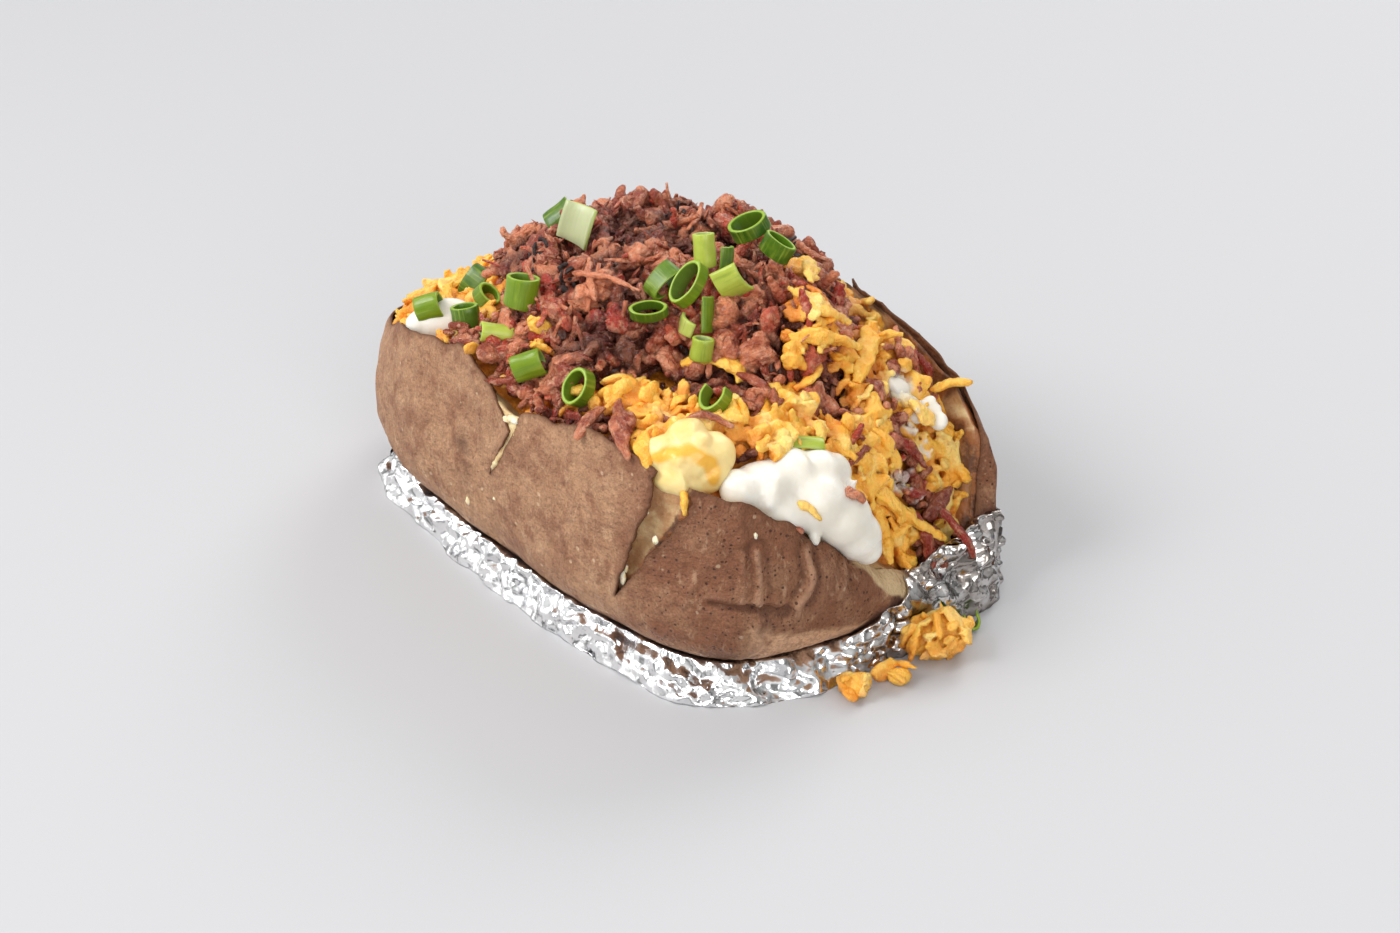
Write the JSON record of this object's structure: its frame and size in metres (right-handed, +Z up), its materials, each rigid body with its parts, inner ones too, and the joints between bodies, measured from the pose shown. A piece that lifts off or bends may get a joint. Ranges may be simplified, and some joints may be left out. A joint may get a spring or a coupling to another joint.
{
  "type": "loaded baked potato",
  "caption": "Large baked potato split open along its top and heaped with grated cheese, chopped beef, butter, sour cream and spring onion, sitting in a crumpled foil collar.",
  "frame": {"origin": "on the flat underside of the foil, under the middle of the potato", "axes": "+X along the potato towards the end where the filling spills out, +Z up, -Y towards the side with the two tall splits"},
  "size_m": [0.179, 0.1113, 0.0886],
  "materials": {
    "potato_skin": "dry baked skin, rough",
    "foil": "crumpled, bright",
    "cheddar": "soft, slightly greasy",
    "beef": "chopped, moist",
    "sour_cream": "wet, smooth",
    "butter": "waxy",
    "spring_onion": "fresh cut, satin",
    "spring_onion_pale": "fresh cut, satin"
  },
  "bodies": {
    "root": {"potato": "potato_skin", "foil": "foil", "cheese": "cheddar", "beef": "beef", "sour_cream_front": "sour_cream", "sour_cream_left": "sour_cream", "sour_cream_right": "sour_cream", "butter": "butter", "spilled_cheese_1": "cheddar", "spilled_cheese_2": "cheddar", "spilled_cheese_3": "cheddar", "spring_onion_01": "spring_onion_pale", "spring_onion_02": "spring_onion", "spring_onion_03": "spring_onion", "spring_onion_04": "spring_onion", "spring_onion_05": "spring_onion", "spring_onion_06": "spring_onion", "spring_onion_07": "spring_onion", "spring_onion_08": "spring_onion_pale", "spring_onion_09": "spring_onion", "spring_onion_10": "spring_onion", "spring_onion_11": "spring_onion_pale", "spring_onion_12": "spring_onion", "spring_onion_13": "spring_onion", "spring_onion_14": "spring_onion", "spring_onion_15": "spring_onion", "spring_onion_16": "spring_onion_pale", "spring_onion_17": "spring_onion_pale", "spring_onion_18": "spring_onion_pale", "spring_onion_19": "spring_onion", "spring_onion_20": "spring_onion", "spring_onion_21": "spring_onion", "spring_onion_22": "spring_onion", "spring_onion_23": "spring_onion_pale", "spring_onion_24": "spring_onion"}
  },
  "joints": []
}
